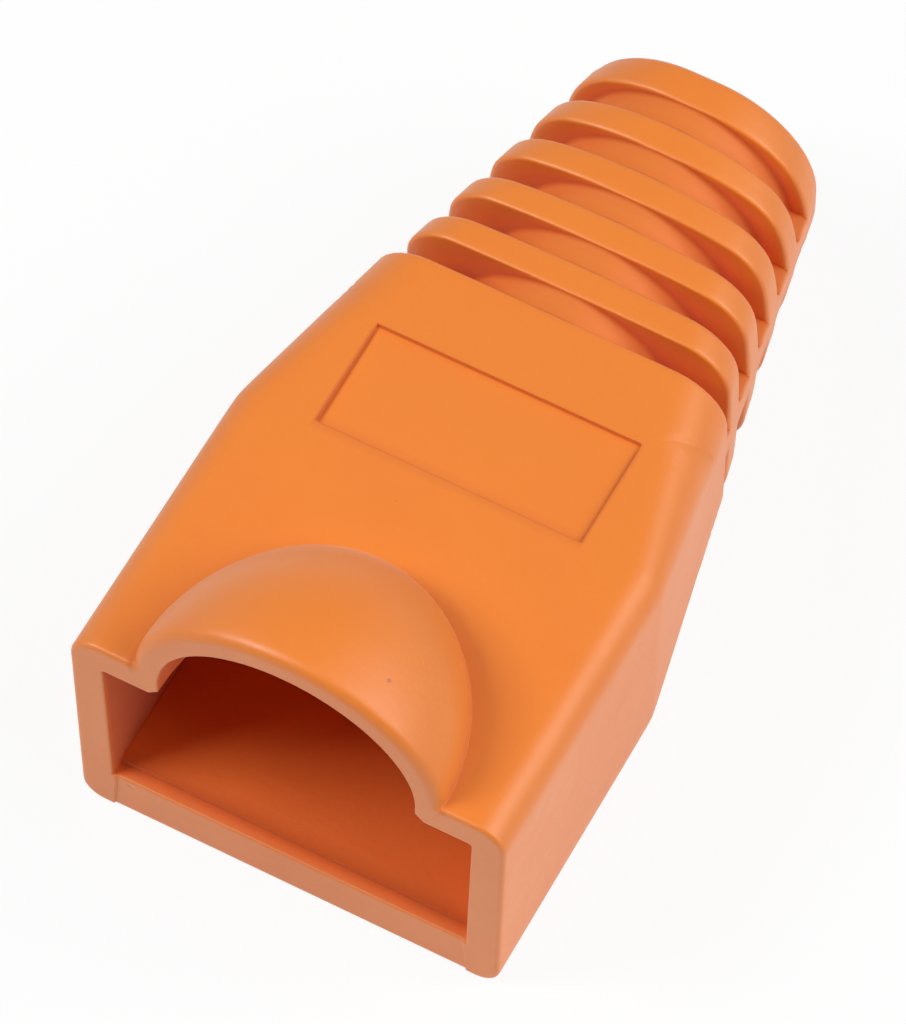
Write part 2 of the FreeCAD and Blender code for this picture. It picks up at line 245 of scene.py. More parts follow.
def box_section(sizes, station):
    """The box's outline at a station, as named sizes; the bend at the waist is softened."""
    first = min(station / sizes.waist, 1.0)
    past = (station - sizes.waist) / (sizes.neck - sizes.waist)
    second = 0.5 * (past + math.hypot(past, 0.03))

    def at(mouth, waist, neck):
        return mouth + (waist - mouth) * first + (neck - waist) * second

    return SimpleNamespace(
        half=at(sizes.mouth_half, sizes.waist_half, sizes.neck_half),
        foot_half=at(sizes.mouth_foot, sizes.waist_foot, sizes.neck_half),
        top=at(sizes.mouth_top, sizes.waist_top, sizes.neck_top),
        corner=at(sizes.mouth_corner, sizes.mouth_corner, sizes.neck_corner),
        foot_corner=at(sizes.mouth_foot_corner, sizes.mouth_foot_corner, sizes.neck_foot_corner),
        bottom=0.0)


def cavity_section(cavity, station):
    """The plug cavity's outline at a station: straight, then a funnel that narrows in plan."""
    past = min(max((station - cavity.depth) / (cavity.funnel_end - cavity.depth), 0.0), 1.0)
    floor = cavity.floor
    if station < cavity.lip_length:
        floor = between(cavity.lip, cavity.lip_step, station / cavity.lip_length)
    return SimpleNamespace(
        half=between(cavity.half, cavity.funnel_half, past),
        foot_half=between(cavity.foot, cavity.funnel_half, past),
        top=cavity.ceiling,
        corner=cavity.corner,
        foot_corner=cavity.foot_corner,
        bottom=floor - FUNNEL_DROP * past)


def fine_outline(section, count=60):
    """Half of an outline as fine points, from the middle of its base to its top."""
    low = (section.foot_half - section.foot_corner, section.bottom + section.foot_corner)
    high = (section.half - section.corner, section.top - section.corner)
    points = [(0.0, section.bottom), (low[0], section.bottom)]
    points += arc(low, section.foot_corner, -90, 0, count)
    points += [(section.half, high[1])] + arc(high, section.corner, 0, 90, count)
    return np.array(points + [(0.0, section.top)])


def along_outline(points, shares):
    """Points at shares of a polyline's length."""
    steps = np.hypot(*np.diff(points, axis=0).T)
    reach = np.concatenate([[0.0], np.cumsum(steps)])
    places = np.asarray(shares) * reach[-1]
    return np.stack([np.interp(places, reach, points[:, axis]) for axis in (0, 1)], -1)


def at_heights(points, heights):
    """Points of the right-hand side of an outline at given heights above its axis."""
    middle = np.abs(points[:, 1]) < 0.9 * points[-1, 1]
    side = points[middle]
    return np.stack([np.interp(heights, side[:, 1], side[:, 0]), heights], -1)


def tail_skin(half, rise, corner, web):
    """Half of the tail's outline in its columns, which crowd at the edges of the web."""
    fine = fine_outline(SimpleNamespace(half=half, foot_half=half, top=rise, bottom=-rise,
                                        corner=corner, foot_corner=corner))
    crowd = web + np.array([WEB_REACH, 0.08, 0.04, 0.0, -0.06, -WEB_REACH])
    edge = at_heights(fine, crowd[::-1])
    level = at_heights(fine, np.linspace(-crowd[-1], crowd[-1], WEB + 1))
    above = fine[fine[:, 1] > crowd[0]]
    above = np.concatenate([edge[-1:], above])
    upper = along_outline(above, np.arange(1, QUARTER + 1) / QUARTER)
    top_half = np.concatenate([edge[1:], upper])
    lower_half = top_half[::-1] * (1, -1)
    return np.concatenate([lower_half, level, top_half])


def tail_floor(skin, radius, shift, web):
    """Half of a slot's floor in the same columns: the core, the web's faces and its side."""
    def core_half(height):
        return math.sqrt(radius ** 2 - (height - shift) ** 2)

    first = QUARTER + 2 * WEB_EDGE + WEB
    above = web + WEB_REACH
    start = math.atan2(above - shift, core_half(above))
    angles = np.linspace(start, math.pi / 2, QUARTER + 1)
    crown = np.stack([radius * np.cos(angles), shift + radius * np.sin(angles)], -1)
    side = skin[first - WEB_EDGE][0]
    foot = core_half(web)
    bevel = 0.035
    face = [(side - bevel, web - bevel), (side - WEB_REACH, web), (foot + WEB_REACH, web),
            (foot + bevel, web + bevel)]
    top_half = np.concatenate([face, crown])
    level = skin[QUARTER + WEB_EDGE:first - WEB_EDGE + 1]
    return np.concatenate([top_half[::-1] * (1, -1), level, top_half])


# ---- the grid's blocks


def ring_direction(place):
    """Cosine and sine on the dome's foot, at a share from the mouth round to the rear."""
    if place <= 0.5:
        sine = 2 * place / math.sqrt(2)
        return math.sqrt(1 - sine * sine), sine
    cosine = 2 * (1 - place) / math.sqrt(2)
    return cosine, math.sqrt(1 - cosine * cosine)


def dome_point(dome, direction, share):
    """A point of the dome, at a share of the way from its crown down to its foot."""
    cosine, sine = direction
    foot = dome.height(0.0, dome.length * sine) + dome.profile[0][1]
    widest = math.acos(min(max((foot - dome.centre) / dome.rise, -1.0), 1.0))
    angle = widest * share
    out = math.sin(angle)
    return np.array((dome.half * out * cosine, dome.length * out * sine,
                     dome.centre + dome.rise * math.cos(angle)))


def foot_point(dome, direction, layer):
    """A point of the profile that joins the dome to the plate round it."""
    point = dome_point(dome, direction, 1.0)
    normal = np.array((direction[0] / dome.half, direction[1] / dome.length))
    normal /= np.hypot(*normal)
    out, lift = dome.profile[layer]
    point[:2] += out * normal
    point[2] = dome.height(0.0, point[1]) + lift
    return point


def plate_row(dome, row):
    """The columns of one row over the top, from the end of the top corner to the middle.

    Up to DOME rows the middle columns lie on the dome.  Round them lie the layers of its foot
    and of the flat plate, and from the last layer on the rows are straight.
    """
    points = []
    last = DOME + RING
    for column in range(RING, -DOME - 1, -1):
        past = row - DOME
        if past > RING:
            x = dome.across(column, dome.stations[row])
            y = dome.stations[row]
            points.append((x, y, dome.height(x, y)))
            continue
        layer = max(column, past)
        if layer <= 0:
            p, q = (column + DOME) / DOME, row / DOME
            x, y = p * math.sqrt(1 - q * q / 2), q * math.sqrt(1 - p * p / 2)
            share = math.hypot(x, y)
            direction = (x / share, y / share) if share else (1.0, 0.0)
            points.append(dome_point(dome, direction, share))
            continue
        place = row if column >= past else DOME + 2 * layer - column
        place /= 2 * (DOME + layer)
        direction = ring_direction(place)
        if layer <= FOOT:
            points.append(foot_point(dome, direction, layer))
            continue
        index = 2 * last * place
        if index <= last:
            y = np.interp(index, range(last + 1), dome.stations[:last + 1])
            rim = np.array((dome.across(RING, y), y))
        else:
            y = dome.stations[last]
            columns = [dome.across(RING - step, y) for step in range(last + 1)]
            rim = np.array((np.interp(index - last, range(last + 1), columns), y))
        inner = foot_point(dome, direction, FOOT)
        x, y = between(inner[:2], rim, (layer - FOOT) / SHOULDER)
        points.append((x, y, dome.height(x, y)))
    return points


def base_shares(even_to, near_edge):
    """Places of the columns over half the base: even, then crowded near its edge."""
    return [*np.linspace(0, even_to, BASE_SPAN - len(near_edge)), *near_edge, 1.0]


def block_row(dome, section, shares, row):
    """One whole half row of the box or of the cavity."""
    station = dome.stations[row]
    lower = lower_outline(section(station), shares)
    points = [(x, station, z) for x, z in lower[:-1]]
    return np.array(points + [tuple(point) for point in plate_row(dome, row)])


def crowded(marks):
    """Stations from a list of (end, intervals) runs, starting at 0."""
    stations = [0.0]
    for end, count in marks:
        start = stations[-1]
        stations += [between(start, end, step / count) for step in range(1, count + 1)]
    return stations


def mouth_edges(sizes):
    """The radius of the mouth's outer edge in each column; it grows over the dome."""
    radii = np.full(HALF + 1, sizes.edge)
    radii[-DOME:] = sizes.dome_edge
    radii[-DOME - FOOT:-DOME] = np.linspace(sizes.edge, sizes.dome_edge, FOOT + 2)[1:-1]
    return radii


def outer_block(sizes, tail, skin):
    """The rows of the box's outside, from the mouth to the neck."""
    front, rear = sizes.label_front, sizes.label_rear
    marks = [(0.3, 1), (8.3, DOME + RING - 1), (front - 0.35, 3), (front - 0.06, 1),
             (front + 0.06, 5), (front + 0.4, 1), (rear - 0.3, 7), (rear - 0.06, 1),
             (rear + 0.06, 5), (sizes.neck - 0.3, 8), (sizes.neck - tail.edge, 1)]
    gaps = (0.12, 0.04, LABEL_WALL, 0.0, -LABEL_WALL, -0.04, -0.12)
    side = [sizes.label_half + gap for gap in gaps]

    def height(x, y):
        top = box_section(sizes, y).top
        into = min(sizes.label_half - abs(x), y - front, rear - y)
        share = smooth_step((into + LABEL_WALL) / (2 * LABEL_WALL))
        return top - (top - sizes.label_floor) * share

    def across(column, y):
        section = box_section(sizes, y)
        edge = section.half - section.corner
        if column >= FOOT:
            return between(side[0], edge, (column - FOOT) / SHOULDER)
        if column >= 0:
            return side[FOOT - column]
        return side[FOOT] * (column + DOME) / DOME

    radius = sizes.dome_foot
    turns = [math.radians(90 * step / FOOT) for step in range(FOOT + 1)]
    profile = [(radius * (1 - math.cos(turn)), radius * (1 - math.sin(turn))) for turn in turns]
    dome = SimpleNamespace(half=sizes.dome_half, length=sizes.dome_length, rise=sizes.dome_rise,
                           centre=sizes.dome_centre, height=height, across=across,
                           profile=profile, stations=crowded(marks))
    # The columns crowd where the lip between the mouth's corners stands back.
    shares = base_shares(5.6 / 6.09, (0.9455, 0.949, 0.9525))
    rows = []
    radial = np.arctan2(skin[:, 1], skin[:, 0])
    for row, station in enumerate(dome.stations):
        points = block_row(dome, lambda y: box_section(sizes, y), shares, row)
        # Behind the recess the columns turn towards those of the tail.
        share = smooth_step((station - rear - 0.1) / (sizes.neck - 0.3 - rear))
        if share:
            turned = np.arctan2(points[:, 2] - tail.axis, points[:, 0])
            wanted = between(turned, radial, share)
            fine = fine_outline(box_section(sizes, station))
            around = np.arctan2(fine[:, 1] - tail.axis, fine[:, 0])
            points = np.stack([np.interp(wanted, around, fine[:, 0]), points[:, 1],
                               np.interp(wanted, around, fine[:, 1])], -1)
        # The front row makes room for the mouth's edge, and the shift fades over 3 mm.
        points[:, 1] += mouth_edges(sizes) * max(0.0, 1 - station / 3)
        rows.append(points)
    return rows


def inner_block(cavity, edge):
    """The rows of the plug cavity and its funnel, from the mouth inwards."""
    step = cavity.lip_length
    marks = [(step - 0.03, 2), (step - 0.005, 1), (step + 0.005, 1), (step + 0.03, 1),
             (7.6, DOME + RING - 5), (cavity.depth - 0.1, 4), (cavity.depth + 0.1, 2),
             (cavity.funnel_end, 6)]
    stations = crowded(marks)
    cut = cavity.rim
    profile = [(0.0, cut + 0.05), (0.03 * cut, 0.93 * cut), (0.32 * cut, 0.66 * cut),
               (0.62 * cut, 0.36 * cut), (0.92 * cut, 0.07 * cut), (cut + 0.03, 0.01),
               (cut + 0.08, 0.0)]

    def height(x, y):
        return cavity.ceiling

    def across(column, y):
        section = cavity_section(cavity, y)
        return (section.half - section.corner) * (column + DOME) / (DOME + RING)

    dome = SimpleNamespace(half=cavity.hollow_half, length=cavity.hollow_length,
                           rise=cavity.hollow_rise, centre=cavity.hollow_centre, height=height,
                           across=across, profile=profile, stations=stations)
    shares = base_shares(0.975, (0.985, 0.99, 0.995))
    rows = []
    for row, station in enumerate(stations):
        points = block_row(dome, lambda y: cavity_section(cavity, y), shares, row)
        points[:, 1] += edge * max(0.0, 1 - station / 0.4)
        rows.append(points)
    return rows


def outline_normals(points):
    """Outward unit normals of a half outline in X and Z, from the middle of its base up."""
    flat = points[:, (0, 2)]
    steps = np.gradient(flat, axis=0)
    steps[0] = (1.0, 0.0)
    steps[-1] = (-1.0, 0.0)
    normals = np.stack([steps[:, 1], -steps[:, 0]], -1)
    return normals / np.hypot(*normals.T)[:, None]


def rounded_over(outline, normals, station, radius, towards, count):
    """Rows round an edge, from a wall along Y to a face across it.

    towards is -1 where the face is in front of the wall and 1 where it is behind.  The
    normals point from the face's side of the wall to the open side.
    """
    rows = []
    for step in range(1, count + 1):
        turn = math.radians(90 * step / count)
        points = outline.copy()
        inset = radius * (1 - math.cos(turn))
        points[:, 0] -= inset * normals[:, 0]
        points[:, 2] -= inset * normals[:, 1]
        points[:, 1] = station + towards * radius * math.sin(turn)
        rows.append(points)
    return rows


def front_rows(outer, inner, sizes, cavity):
    """The rounded edges and the flat face round the mouth, from the outside to the inside."""
    radii = mouth_edges(sizes)
    outside = rounded_over(outer, outline_normals(outer), radii, radii, -1, 5)
    inside = rounded_over(inner, -outline_normals(inner), sizes.inner_edge, sizes.inner_edge,
                          -1, 3)
    face = [between(outside[-1], inside[-1], share) for share in (0.06, 0.35, 0.65, 0.94)]
    rows = outside + face + inside[::-1]
    setback = np.zeros(HALF + 1)
    setback[:BASE_SPAN - 2] = cavity.lip_setback
    setback[BASE_SPAN - 2] = 0.5 * cavity.lip_setback
    for points in [outer, *rows, inner]:
        points[:, 1] += setback
    return rows


def bore_rows(cavity, tail, funnel, skin_angles):
    """The funnel's end wall and the cable bore, to the edge of the tail's end face."""
    start = np.arctan2(funnel[:, 2] - tail.axis, funnel[:, 0])

    def ring(station, share, radius=cavity.bore):
        angles = between(start, skin_angles, share)
        return np.stack([radius * np.cos(angles), np.full(HALF + 1, station),
                         tail.axis + radius * np.sin(angles)], -1)

    mouth = ring(cavity.funnel_end, 0.0)
    rows = [between(funnel, mouth, share) for share in (0.3, 0.7, 1.0)]
    last = tail.end - BORE_EDGE
    count = 10
    rows += [ring(between(cavity.funnel_end, last, step / count), step / count)
             for step in range(1, count + 1)]
    for step in (1, 2, 3):
        turn = math.radians(30 * step)
        rows.append(ring(last + BORE_EDGE * math.sin(turn), 1.0,
                         cavity.bore + BORE_EDGE * (1 - math.cos(turn))))
    return rows


def end_rows(tail, skin, hole):
    """The tail's end face and its rounded outer edge, from the bore to the outside."""
    outline = np.stack([skin[:, 0], np.full(HALF + 1, tail.end), skin[:, 1] + tail.axis], -1)
    normals = outline_normals(outline)
    start = tail.end - tail.end_edge
    edge = rounded_over(outline, normals, start, tail.end_edge, 1, 5)
    face = [between(hole, edge[-1], share) for share in (0.3, 0.7)]
    wall = outline.copy()
    wall[:, 1] = start
    return face + edge[::-1] + [wall]


# ---- the slots


def slot_pattern():
    """The rows of one slot and of the rib behind it.

    Each row is (slots, (widths, edges, roots), (depths, edges, roots)): its station is that
    many pitches, widths and radii behind the slot's front wall, and its depth below the skin
    is that share of the slot's depth and that many radii.
    """
    half = []
    for step in range(5):
        turn = math.radians(22.5 * step)
        half.append(((0, math.sin(turn) - 1, 0), (0, 1 - math.cos(turn), 0)))
    for share in (0.25, 0.5, 0.75, 1.0):
        half.append(((0, 0, 0), (share, 1 - share, -share)))
    for step in (1, 2, 3):
        turn = math.radians(30 * step)
        half.append(((0, 0, 1 - math.cos(turn)), (1, 0, math.sin(turn) - 1)))
    rows = [(0, station, depth) for station, depth in half]
    rows.append((0, (0.5, 0, 0), (1, 0, 0)))
    rows += [(0, (1 - w, -e, -r), depth) for (w, e, r), depth in half[::-1]]
    for share in (1 / 3, 2 / 3):
        rows.append((share, (1 - share, 1 - 2 * share, 0), (0, 0, 0)))
    return rows


def slot_painted_shade(number):
    """How much painted shade a row of the slot pattern gets: in creases and as hollow colour."""
    place = min(number, 2 * HALF_SLOT - number)
    creases = {7: 0.3, 8: 1.0, 9: 1.0, 10: 0.8, 11: 0.5, 12: 0.4}
    hollow_shades = {5: 0.25, 6: 0.5, 7: 0.75, 8: 0.9, 9: 0.5, 10: 0.1, 11: 0.1, 12: 0.1}
    return creases.get(place, 0.0), hollow_shades.get(place, 0.0)


def tail_rows(tail, neck, neck_row, front_skin, rear_skin):
    """The rows of the tail from the neck to its end, with what the slot tree reads.

    The last rib has no slot behind it, so its rows are placed here.
    """
    pattern = slot_pattern()
    first_web = QUARTER + WEB_EDGE
    evenness = np.zeros(HALF + 1)
    evenness[first_web - 1:first_web + WEB + 2] = (0.1, 0.5, 0.9, 1, 1, 1, 0.9, 0.5, 0.1)
    neck_skin = np.stack([neck_row[:, 0], neck_row[:, 2] - tail.axis], -1)
    rows = []
    for slot in range(tail.slots):
        radius = between(tail.core_front, tail.core_rear, slot / (tail.slots - 1))
        front_floor = tail_floor(front_skin, radius, tail.core_shift, tail.web)
        rear_floor = tail_floor(rear_skin, radius, tail.core_shift, tail.web)
        for number, (share, station, depth) in enumerate(pattern):
            if (slot == 0 and number == 0) or (slot == tail.slots - 1 and share):
                continue
            at_neck = slot == 0 and number < HALF_SLOT
            skins = (neck_skin, neck_skin) if at_neck else (front_skin, rear_skin)
            even = evenness * 0 if at_neck else evenness
            rows.append(SimpleNamespace(
                slot=slot + share, station=station, depth=depth, even=even,
                # Its shares of painted shade: in its creases and as the deeper hollow colour
                finish=slot_painted_shade(number),
                even_at=slot + number / len(pattern), skins=skins,
                floors=(front_floor, rear_floor)))
    last_slot = neck + (tail.slots - 1) * tail.pitch
    after = last_slot + tail.width + tail.edge
    even_after = last_slot + tail.pitch * 2 * HALF_SLOT / len(pattern) - tail.edge
    start = between(after, even_after, evenness)
    stop = tail.end - tail.end_edge
    placed = []
    for share in (0.25, 0.5, 0.75):
        station = between(start, stop, share)
        along = ((station - neck) / (tail.end - neck))[:, None]
        skin = between(front_skin, rear_skin, along)
        placed.append(np.stack([skin[:, 0], station, skin[:, 1] + tail.axis], -1))
    return rows, placed


# ---- node trees


def arithmetic(operation, flipped=False):
    """A method that adds a Math node for a wire and the other operand."""
    def method(self, other):
        return self.tree.maths(operation, *((other, self) if flipped else (self, other)))
    return method


class Wire:
    """A socket of a node tree. Arithmetic on it adds Math nodes to the tree."""

    def __init__(self, tree, socket):
        self.tree = tree
        self.socket = socket

    __add__ = arithmetic("ADD")
    __radd__ = arithmetic("ADD", flipped=True)
    __sub__ = arithmetic("SUBTRACT")
    __rsub__ = arithmetic("SUBTRACT", flipped=True)
    __mul__ = arithmetic("MULTIPLY")
    __rmul__ = arithmetic("MULTIPLY", flipped=True)
    __truediv__ = arithmetic("DIVIDE")


class Tree:
    """A node tree under construction."""

    def __init__(self, tree):
        self.tree = tree

    def node(self, kind, settings=None, inputs=None):
        """Add a node: its settings first, then the values or wires of its sockets."""
        node = self.tree.nodes.new(kind)
        for name, value in (settings or {}).items():
            setattr(node, name, value)
        for key, value in (inputs or {}).items():
            if isinstance(value, Wire):
                self.tree.links.new(value.socket, node.inputs[key])
            else:
                node.inputs[key].default_value = value
        return node

    def wire(self, kind, settings=None, inputs=None, output=0):
        """Add a node and give one of its outputs."""
        return Wire(self, self.node(kind, settings, inputs).outputs[output])

    def maths(self, operation, *operands):
        """A Math node."""
        return self.wire("ShaderNodeMath", {"operation": operation}, dict(enumerate(operands)))

    def blend(self, kind, share, first, second):
        """A Mix node for a FLOAT, a VECTOR or an RGBA."""
        place = {"FLOAT": (2, 3, 0), "VECTOR": (4, 5, 1), "RGBA": (6, 7, 2)}[kind]
        inputs = {0: share, place[0]: first, place[1]: second}
        return self.wire("ShaderNodeMix", {"data_type": kind}, inputs, place[2])


SLOT_LENGTHS = ("Neck", "End", "Pitch", "Width", "Edge", "Root")
STORED = ("ribbed", "slot", "even_at", "evenness", "station_parts", "depth_parts", "skin_front",
          "skin_rear", "floor_front", "floor_rear")


def slot_tree():
    """The Geometry Nodes tree that lays the tail's rows along its ribs and into its slots."""
    group = bpy.data.node_groups.new("Slotted tail", "GeometryNodeTree")
    ports = group.interface
    ports.new_socket(name="Geometry", in_out="INPUT", socket_type="NodeSocketGeometry")
    for name in SLOT_LENGTHS:
        ports.new_socket(name=name, in_out="INPUT", socket_type="NodeSocketFloat")
    ports.new_socket(name="Material", in_out="INPUT", socket_type="NodeSocketMaterial")
    ports.new_socket(name="Geometry", in_out="OUTPUT", socket_type="NodeSocketGeometry")
    tree = Tree(group)
    entry = tree.node("NodeGroupInput")
    neck, end, pitch, width, edge, root = [Wire(tree, entry.outputs[name])
                                           for name in SLOT_LENGTHS]

    def stored(name, kind):
        node = tree.node("GeometryNodeInputNamedAttribute", {"data_type": kind}, {"Name": name})
        output = next(socket for socket in node.outputs
                      if socket.enabled and socket.name == "Attribute")
        return Wire(tree, output)

    def parts(vector):
        node = tree.node("ShaderNodeSeparateXYZ", None, {0: vector})
        return [Wire(tree, output) for output in node.outputs]

    slot, even_at = stored("slot", "FLOAT"), stored("even_at", "FLOAT")
    widths, edges, roots = parts(stored("station_parts", "FLOAT_VECTOR"))
    stepped = neck + slot * pitch + widths * width + edges * edge + roots * root
    spread = neck + even_at * pitch - edge
    station = tree.blend("FLOAT", stored("evenness", "FLOAT"), stepped, spread)
    share = (station - neck) / (end - neck)
    skin = tree.blend("VECTOR", share, stored("skin_front", "FLOAT_VECTOR"),
                      stored("skin_rear", "FLOAT_VECTOR"))
    floor = tree.blend("VECTOR", share, stored("floor_front", "FLOAT_VECTOR"),
                       stored("floor_rear", "FLOAT_VECTOR"))
    reach = tree.wire("ShaderNodeVectorMath", {"operation": "DISTANCE"}, {0: skin, 1: floor}, 1)
    depths, bends, fillets = parts(stored("depth_parts", "FLOAT_VECTOR"))
    half = reach * 0.5
    depth = (depths * reach + bends * tree.maths("MINIMUM", edge, half)
             + fillets * tree.maths("MINIMUM", root, half))
    sunk = depth / tree.maths("MAXIMUM", reach, 1e-7)
    place = tree.blend("VECTOR", sunk, skin, floor)
    x, _, z = parts(place)
    position = tree.wire("ShaderNodeCombineXYZ", None, {0: x, 1: station, 2: z})
    moved = tree.wire("GeometryNodeSetPosition", None,
                      {"Geometry": Wire(tree, entry.outputs["Geometry"]),
                       "Selection": stored("ribbed", "BOOLEAN"), "Position": position})
    smooth = tree.wire("GeometryNodeSetShadeSmooth", None, {"Geometry": moved})
    bend = tree.wire("GeometryNodeInputMeshEdgeAngle")
    crisp = tree.wire("GeometryNodeSetShadeSmooth", {"domain": "EDGE"},
                      {"Geometry": smooth, "Shade Smooth": False,
                       "Selection": tree.maths("GREATER_THAN", bend, CRISP_ANGLE)})
    whole = tree.wire("GeometryNodeRealizeInstances", None, {"Geometry": crisp})
    finished = tree.wire("GeometryNodeSetMaterial", None,
                         {"Geometry": whole, "Material": Wire(tree, entry.outputs["Material"])})
    tree.node("NodeGroupOutput", None, {"Geometry": finished})
    return group


# ---- the mesh


def whole_row(points):
    """A half row and its mirror image, as one closed row in metres in the frame."""
    left = points[1:-1][::-1] * (-1, 1, 1)
    row = np.concatenate([points, left]) * MM
    row[:, 1] += LOW.y
    return row


def whole_values(values):
    """Half a row of numbers and its mirror image."""
    return np.concatenate([values, values[1:-1][::-1]])


def closed_grid(rows):
    """A mesh whose rows and columns both close on themselves, facing outwards."""
    count, columns = len(rows), len(rows[0])
    corners = np.arange(count * columns).reshape(count, columns)
    right = np.roll(corners, -1, axis=1)
    below = np.roll(corners, -1, axis=0)
    across = np.roll(right, -1, axis=0)
    faces = np.stack([corners, right, across, below], -1).reshape(-1, 4)
    mesh = bpy.data.meshes.new("boot_skin")
    mesh.from_pydata(np.concatenate(rows).tolist(), [], faces.tolist())
    mesh.update()
    return mesh


def store(mesh, name, kind, values):
    """Store a value at each vertex."""
    field = {"FLOAT_VECTOR": "vector"}.get(kind, "value")
    attribute = mesh.attributes.new(name, kind, "POINT")
    attribute.data.foreach_set(field, np.ascontiguousarray(values).ravel())


def store_slots(mesh, ribs, before, axis):
    """Store what the slot tree reads; the ribbed rows start after the rows before them."""
    columns = 2 * HALF
    total = len(mesh.vertices)
    span = slice(before * columns, (before + len(ribs)) * columns)

    def spread(width, per_row):
        values = np.zeros((total, width))
        values[span] = np.concatenate([per_row(rib) for rib in ribs]).reshape(-1, width)
        return values

    def repeated(value):
        return np.tile(np.atleast_1d(value), (columns, 1))

    def outline(points):
        full = np.stack([points[:, 0], points[:, 0] * 0, points[:, 1] + axis], -1)
        row = whole_row(full)
        row[:, 1] = 0.0
        return row

    ribbed = np.zeros(total, bool)
    ribbed[span] = True
    numbers = {
        "slot": lambda rib: repeated(rib.slot),
        "even_at": lambda rib: repeated(rib.even_at),
        "evenness": lambda rib: whole_values(rib.even),
        # Painted shade in the slots' creases, none at the web
        "crease": lambda rib: whole_values((1 - rib.even) * rib.finish[0]),
    }
    vectors = {
        "station_parts": lambda rib: repeated(rib.station),
        "depth_parts": lambda rib: repeated(rib.depth),
        "skin_front": lambda rib: outline(rib.skins[0]),
        "floor_front": lambda rib: outline(rib.floors[0]),
        "skin_rear": lambda rib: outline(rib.skins[1]),
        "floor_rear": lambda rib: outline(rib.floors[1]),
    }
    store(mesh, "ribbed", "BOOLEAN", ribbed)
    for name, per_row in numbers.items():
        store(mesh, name, "FLOAT", spread(1, per_row))
    for name, per_row in vectors.items():
        store(mesh, name, "FLOAT_VECTOR", spread(3, per_row))


def add_painted_shade(mesh, sizes, cavity):
    """Add painted shade round the recess, the dome's foot and the lip, and on the cavity's walls.
    """
    points = np.empty(3 * len(mesh.vertices))
    mesh.vertices.foreach_get("co", points)
    x, y, z = (points.reshape(-1, 3) - (0.0, LOW.y, 0.0)).T / MM

    def share(where, value):
        return np.where(where, value, 0.0)

    # Painted shade in the valley round the dome's foot
    top = box_section(sizes, sizes.dome_length / 2).top
    ring = (np.hypot(x / sizes.dome_half, y / sizes.dome_length) - 1) * sizes.dome_half
    foot = share(np.abs(z - top) < 0.35, 0.5 - np.abs(ring - 0.05) / 0.3)

    # Painted shade along the walls of the label recess, lighter along its rear wall
    label = 0.5 * (sizes.label_front + sizes.label_rear)
    beside = np.abs(x) - sizes.label_half
    beyond = np.abs(y - label) - (sizes.label_rear - label)
    away = np.where((beside > 0) & (beyond > 0), np.hypot(beside, beyond),
                    np.abs(np.maximum(beside, beyond)))
    depth = np.where(y > sizes.label_rear - 0.2, 0.5, 0.9)
    recess = share(z > sizes.label_floor - 0.05, depth - (away - LABEL_WALL) / 0.1)

    # Painted shadow on the lip's step and on the cavity's floor just behind it
    low = (z < cavity.floor + 0.001) & (z > cavity.lip - 0.1) & (np.abs(x) < cavity.half)
    behind = y - cavity.lip_length
    step = share(low, np.where(behind > 0, 0.9 - behind / 0.6, 1 + (behind + 0.02) / 0.07))

    # Painted shade on the cavity's side walls, deeper further in
    inside = (y > 0.2) & (y < cavity.depth) & (z > cavity.floor) & (z < cavity.ceiling)
    out = np.abs(x) - cavity.foot
    wall = share(inside & (out > -0.04) & (out < 0.2), np.minimum(0.45 + y / 2.5, 1.0))

    creases = mesh.attributes["crease"].data
    values = np.empty(len(creases))
    creases.foreach_get("value", values)
    values = np.clip(np.max([values, recess, foot, step, wall], axis=0), 0.0, 1.0)
    creases.foreach_set("value", values)


